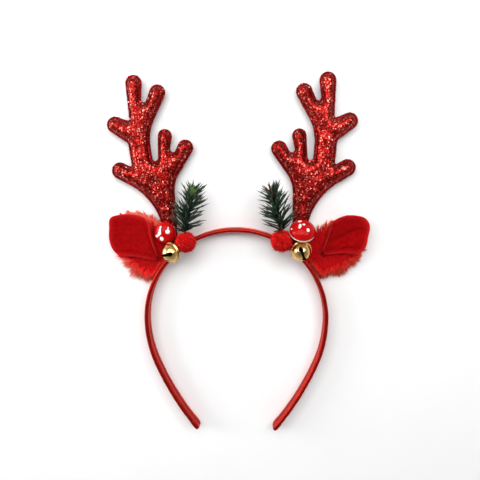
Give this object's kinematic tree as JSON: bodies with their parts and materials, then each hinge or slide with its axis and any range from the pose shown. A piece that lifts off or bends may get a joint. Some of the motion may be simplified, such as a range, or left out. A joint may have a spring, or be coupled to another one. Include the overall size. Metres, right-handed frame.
{
  "type": "reindeer headband",
  "caption": "Satin-wrapped costume headband with padded glitter antlers, gathered velvet and fur ears, pine sprigs, pompoms, mushrooms and jingle bells.",
  "frame": {"origin": "on the hoop's back edge, in the middle of the crown", "axes": "+X to the right as seen from the front, +Y from the hoop to the antlers, +Z to the front of the headband"},
  "size_m": [0.1825, 0.2533, 0.0247],
  "materials": {
    "satin": "satin ribbon, wound tight",
    "glitter": "glitter, sparkling",
    "velvet": "short velvet pile",
    "fur": "long fur pile",
    "yarn": "fuzzy yarn",
    "lacquer": "lacquered",
    "cream": "matte foam",
    "gold": "polished",
    "needle": "satin"
  },
  "bodies": {
    "root": {"hoop": "satin", "antler_left": "glitter", "antler_right": "glitter", "ear_left": "velvet", "ear_right": "velvet", "ear_fur_left": "fur", "ear_fur_right": "fur", "pine_sprig_left": "needle", "pine_sprig_right": "needle", "pompom_left": "yarn", "pompom_right": "yarn", "mushroom_cap_left": "lacquer", "mushroom_cap_right": "lacquer", "mushroom_underside_left": "cream", "mushroom_underside_right": "cream", "bell_left": "gold", "bell_right": "gold"}
  },
  "joints": []
}
